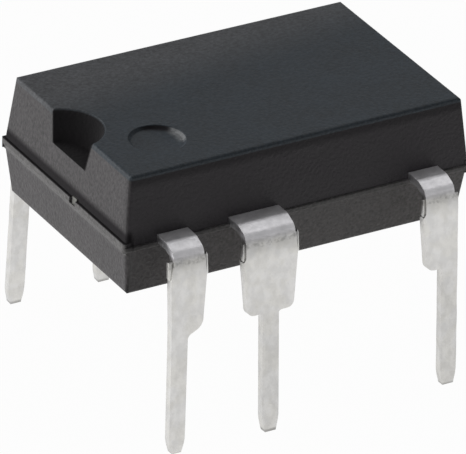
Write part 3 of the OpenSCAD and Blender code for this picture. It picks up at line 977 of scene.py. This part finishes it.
    def add_stub(self, mesh, side):
        """What is left of the dam bar: a rim, and the web behind the groove inside it."""
        low, high = self.stub_top - self.stub_height, self.stub_top
        if self.corner and side == 1:
            widths = [self.leg_width / 2 + edge for edge in self.LEG_STUB]
            self.add_block(mesh, side, widths, (low, high), self.stub_back)
            return
        low -= self.STUB_DROP
        if side == self.burr_side:
            rim, top, slant = self.stub_out - self.BURR_INSET, high + self.BURR_RISE, self.BURR_SLANT
        else:
            rim, top, slant = -self.CUT_INSET, high, 0.0
        rim += self.shoulder_width / 2
        self.add_block(mesh, side, (rim - self.WEB_WIDTH, rim - self.WEB_INSET), (low, high),
                       self.groove_depth)
        self.add_block(mesh, side, (rim - self.rim_width, rim), (low, top), self.stub_back, slant)

    def unevenness(self, out, far, depth):
        """Smooth noise that fades out near the body and at the tip."""
        place = Vector((out * self.WAVES + self.middle, far * self.WAVES,
                        depth + self.side_x + self.ROW_SHIFT * self.side_y))
        from_root = max(0.0, (far - self.CALM_ROOT) / self.CALM_RUN)
        from_tip = max(0.0, (self.down(self.tip) - far) / self.CALM_RUN)
        return self.wave * min(1.0, from_root, from_tip) * smooth_noise.noise(place)

    def wrap(self, mesh):
        """Lays the blank over its path and moves it to its place in the row."""
        foot = self.down(self.foot_height)
        for vert in mesh.verts:
            out, far, depth = vert.co
            uneven = self.unevenness(out, far, depth)
            out += self.lean * max(0.0, far - foot) + uneven
            depth += uneven
            if far <= 0.0:
                way, height, slope = far, 0.0, 0.0
            else:
                way, height, slope = walk(self.path, far)
            vert.co = (self.side_x * (self.middle + out),
                       self.side_y * (self.root + way + math.sin(slope) * depth),
                       self.top + height + math.cos(slope) * depth)

    def made(self):
        """The finished lead as a bmesh, in metres."""
        mesh = self.blank()
        self.thicken(mesh)
        for side in (-1, 1):
            self.add_stub(mesh, side)
        self.wrap(mesh)
        bmesh.ops.scale(mesh, vec=(MM, MM, MM), verts=mesh.verts)
        bmesh.ops.recalc_face_normals(mesh, faces=mesh.faces)
        return mesh


class PACKAGE_OT_body(bpy.types.Operator):
    """Dress the moulded body"""

    bl_idname = "package.body"
    bl_label = "Moulded body"

    def execute(self, context):
        give("moulded_body", MouldFinish().made())
        return {"FINISHED"}


class PACKAGE_OT_leads(bpy.types.Operator):
    """Form the tinned leads"""

    bl_idname = "package.leads"
    bl_label = "Leads"

    def execute(self, context):
        tin = tin_finish()
        for name in LEADS:
            mesh = LeadForm(context.scene.package_lead, name).made()
            piece = finished(mesh, "formed_" + name, tin)
            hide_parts(name)
        return {"FINISHED"}


class PACKAGE_OT_inside(bpy.types.Operator):
    """Dress the pieces inside the body"""

    bl_idname = "package.inside"
    bl_label = "Inside pieces"

    def execute(self, context):
        give("die_paddle", frame_finish())
        give("die_attach", plain_finish(*EPOXY))
        give("silicon_die", plain_finish(*SILICON))
        gold = plain_finish(*GOLD)
        for name in WIRES:
            give(name, gold)
        return {"FINISHED"}


def panel_light(name, azimuth, elevation, width, height, brightness, distance=0.8):
    """Soft panel that faces the part; the azimuth turns from -Y towards -X."""
    across, up = math.radians(azimuth), math.radians(elevation)
    back = Vector((-math.sin(across) * math.cos(up), -math.cos(across) * math.cos(up), math.sin(up)))
    data = bpy.data.lights.new(name, "AREA")
    data.shape = "RECTANGLE"
    data.size = width
    data.size_y = height
    data.energy = brightness * math.pi * width * height
    light = bpy.data.objects.new(name, data)
    light.location = back * distance
    light.rotation_euler = back.to_track_quat("Z", "Y").to_euler()
    bpy.context.scene.collection.objects.link(light)


class PACKAGE_OT_stage(bpy.types.Operator):
    """Add the floor, the lights and the camera"""

    bl_idname = "package.stage"
    bl_label = "Studio"

    def execute(self, context):
        scene = context.scene
        settings = scene.package_stage
        mesh = bmesh.new()
        bmesh.ops.create_grid(mesh, x_segments=1, y_segments=1, size=settings.floor_size / 2)
        data = bpy.data.meshes.new("floor")
        mesh.to_mesh(data)
        mesh.free()
        floor = bpy.data.objects.new("floor", data)
        scene.collection.objects.link(floor)
        data.materials.append(self.floor_finish(settings))

        scene.world = self.make_world(settings)
        for name, placing in PANELS.items():
            panel_light(name, *placing)
        self.make_camera(scene, settings)
        scene.view_settings.view_transform = "Standard"
        return {"FINISHED"}

    @staticmethod
    def make_world(settings):
        """White to the camera and grey in reflections, with no other light on the part."""
        world = bpy.data.worlds.new("studio")
        graph = Graph(world)
        backdrop = graph.tree.nodes["Background"].inputs
        path = graph.node("ShaderNodeLightPath")
        graph.feed(backdrop["Color"], WHITE)
        graph.feed(backdrop["Strength"], path["Is Camera Ray"] + path["Is Glossy Ray"] * settings.sky_gloss)
        return world

    @staticmethod
    def floor_finish(settings):
        """Pale floor that the camera and the metal see as nearly plain white."""
        finish = Finish("studio_floor", Roughness=0.9, Specular_IOR_Level=0.1)
        grey = settings.floor_grey
        finish.surface("Base Color", opaque((grey, grey, grey)))
        path = finish.node("ShaderNodeLightPath")
        glow = finish.node("ShaderNodeEmission", values={"Color": WHITE, "Strength": 1.0})
        seen = (path["Is Camera Ray"] * settings.floor_glow + path["Is Glossy Ray"]).clamped()
        finish.lay_over(seen, glow)
        return finish.material

    @staticmethod
    def make_camera(scene, settings):
        az, el, roll = settings.azimuth, settings.elevation, settings.roll
        back = Vector((-math.sin(az) * math.cos(el), -math.cos(az) * math.cos(el), math.sin(el)))
        right = Vector((math.cos(az), -math.sin(az), 0.0))
        up = back.cross(right)
        turned_right = math.cos(roll) * right + math.sin(roll) * up
        turned_up = -math.sin(roll) * right + math.cos(roll) * up
        data = bpy.data.cameras.new("camera")
        data.sensor_width = SENSOR_WIDTH
        data.lens = SENSOR_WIDTH * settings.focal_px / IMAGE_WIDTH
        data.clip_start = 0.01
        camera = bpy.data.objects.new("camera", data)
        turn = Matrix((turned_right, turned_up, back)).transposed().to_4x4()
        place = turned_right * settings.aim_right + turned_up * settings.aim_up
        camera.matrix_world = Matrix.Translation(place + back * settings.distance) @ turn
        scene.collection.objects.link(camera)
        scene.camera = camera


class PACKAGE_PT_panel(bpy.types.Panel):
    """Sizes, colours and steps of the package"""

    bl_label = "Dual In-Line Package"
    bl_idname = "PACKAGE_PT_panel"
    bl_space_type = "VIEW_3D"
    bl_region_type = "UI"
    bl_category = "Package"

    def draw(self, context):
        for key, group in SETTINGS.items():
            box = self.layout.box()
            for name in group.__annotations__:
                box.prop(getattr(context.scene, key), name)
        for step in STEPS:
            self.layout.operator(step.bl_idname)


STEPS = (PACKAGE_OT_body, PACKAGE_OT_leads, PACKAGE_OT_inside, PACKAGE_OT_stage)
SETTINGS = {"package_mould": MouldSettings, "package_tin": TinSettings, "package_lead": LeadSettings,
            "package_stage": StageSettings}
CLASSES = (*SETTINGS.values(), *STEPS, PACKAGE_PT_panel)


def register():
    for each in CLASSES:
        bpy.utils.register_class(each)
    for key, group in SETTINGS.items():
        setattr(bpy.types.Scene, key, PointerProperty(type=group))


def unregister():
    for key in SETTINGS:
        delattr(bpy.types.Scene, key)
    for each in reversed(CLASSES):
        bpy.utils.unregister_class(each)


def main():
    register()
    bpy.ops.package.body()
    bpy.ops.package.leads()
    bpy.ops.package.inside()
    bpy.ops.package.stage()


if __name__ == "__main__":
    main()
